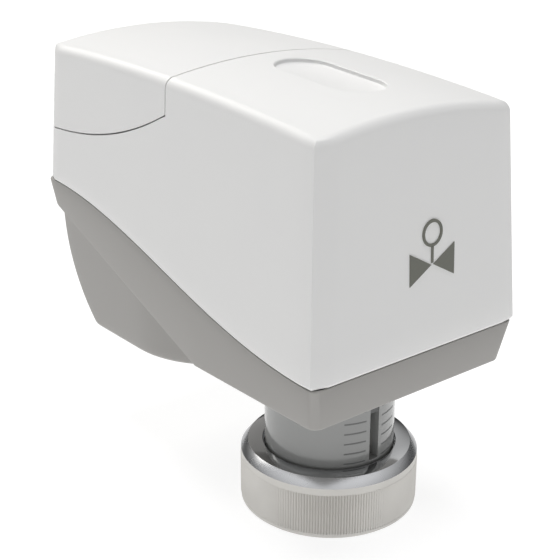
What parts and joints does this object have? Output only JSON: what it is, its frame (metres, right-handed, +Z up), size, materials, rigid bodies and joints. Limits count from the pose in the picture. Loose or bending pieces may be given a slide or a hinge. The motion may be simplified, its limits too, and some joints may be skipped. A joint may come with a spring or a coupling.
{
  "type": "motorised valve actuator head",
  "caption": "Small linear valve actuator: drafted two-tone plastic housing over a motor, gear train and push spindle, on a round column with a knurled union nut.",
  "frame": {"origin": "centre of the union nut's mouth, on the stem axis", "axes": "+Z up along the stem axis, towards the housing; the front face looks along -Y; +X is to the right seen from the front"},
  "size_m": [0.052, 0.092, 0.0885],
  "materials": {
    "white_plastic": "satin moulded ABS",
    "grey_plastic": "fine-textured moulded ABS",
    "column_plastic": "glossy moulded polyamide",
    "black_plastic": "moulded",
    "nickel": "satin nickel plate, turned and knurled",
    "steel": "ground",
    "zinc_steel": "zinc plated",
    "brass": "turned",
    "gear_plastic": "moulded acetal",
    "rubber": "matt",
    "copper_wire": "enamelled winding wire",
    "magnet": "sintered ferrite",
    "board_green": "solder-masked laminate",
    "block_green": "moulded polyamide",
    "blue_part": "dipped coating"
  },
  "bodies": {
    "housing": {"base_housing": "grey_plastic", "main_cover": "white_plastic", "cover_screws": "zinc_steel", "housing_seal": "rubber", "guide_column": "column_plastic", "column_screws": "zinc_steel", "nut_ring": "steel", "spindle_bush": "brass", "upper_race": "steel", "lower_plate": "zinc_steel", "upper_plate": "zinc_steel", "plate_pillars": "steel", "plate_screws": "zinc_steel", "pillar_screws": "zinc_steel", "gear_1_axle": "steel", "gear_2_axle": "steel", "motor_can": "zinc_steel", "stator_coils": "copper_wire", "stator_core": "steel", "motor_bushes": "brass", "motor_screws": "zinc_steel", "circuit_board": "board_green", "board_posts": "brass", "board_screws": "zinc_steel", "terminal_block": "block_green", "terminal_screws": "zinc_steel", "capacitor": "black_plastic", "varistor": "blue_part", "motor_leads": "blue_part", "cable_grommet": "rubber"},
    "lid": {"terminal_lid": "white_plastic", "lid_screws": "zinc_steel"},
    "nut": {"union_nut": "nickel"},
    "spindle": {"drive_spindle": "steel", "push_cap": "black_plastic", "position_pointer": "black_plastic"},
    "output": {"drive_nut": "brass", "spindle_gear": "gear_plastic", "lower_race": "steel", "thrust_balls": "steel"},
    "first_gear": {"gear_1": "gear_plastic"},
    "second_gear": {"gear_2": "gear_plastic"},
    "rotor": {"motor_rotor": "magnet", "motor_shaft": "steel", "motor_pinion": "brass"}
  },
  "joints": [
    {"name": "motor_spin", "type": "hinge", "parent": "housing", "child": "rotor", "pos_m": [0, 0.0362, 0.05], "axis": [0, 0, -1], "range_deg": [-10, 108874]},
    {"name": "gear_1_spin", "type": "hinge", "parent": "housing", "child": "first_gear", "pos_m": [0.00518, 0.02319, 0.05], "axis": [0, 0, 1], "range_deg": [-2, 18146]},
    {"name": "gear_2_spin", "type": "hinge", "parent": "housing", "child": "second_gear", "pos_m": [-0.00799, 0.01713, 0.05], "axis": [0, 0, -1], "range_deg": [-2, 3782]},
    {"name": "drive_nut_spin", "type": "hinge", "parent": "housing", "child": "output", "pos_m": [0, 0, 0.05], "axis": [0, 0, 1], "range_deg": [-2, 1082]},
    {"name": "spindle_slide", "type": "slide", "parent": "housing", "child": "spindle", "axis": [0, 0, -1], "range_m": [0, 0.009]},
    {"name": "union_nut_spin", "type": "hinge", "parent": "housing", "child": "nut", "pos_m": [0, 0, 0.005], "axis": [0, 0, 1], "continuous": true},
    {"name": "lid_pull", "type": "slide", "parent": "housing", "child": "lid", "axis": [0, 1, 0], "range_m": [0, 0.05]}
  ],
  "couplings": [
    {"joint": "drive_nut_spin", "follows": "spindle_slide", "rad_per_m": 2094.4},
    {"joint": "gear_2_spin", "follows": "spindle_slide", "rad_per_m": 7330.4},
    {"joint": "gear_1_spin", "follows": "spindle_slide", "rad_per_m": 35186},
    {"joint": "motor_spin", "follows": "spindle_slide", "rad_per_m": 211120}
  ]
}
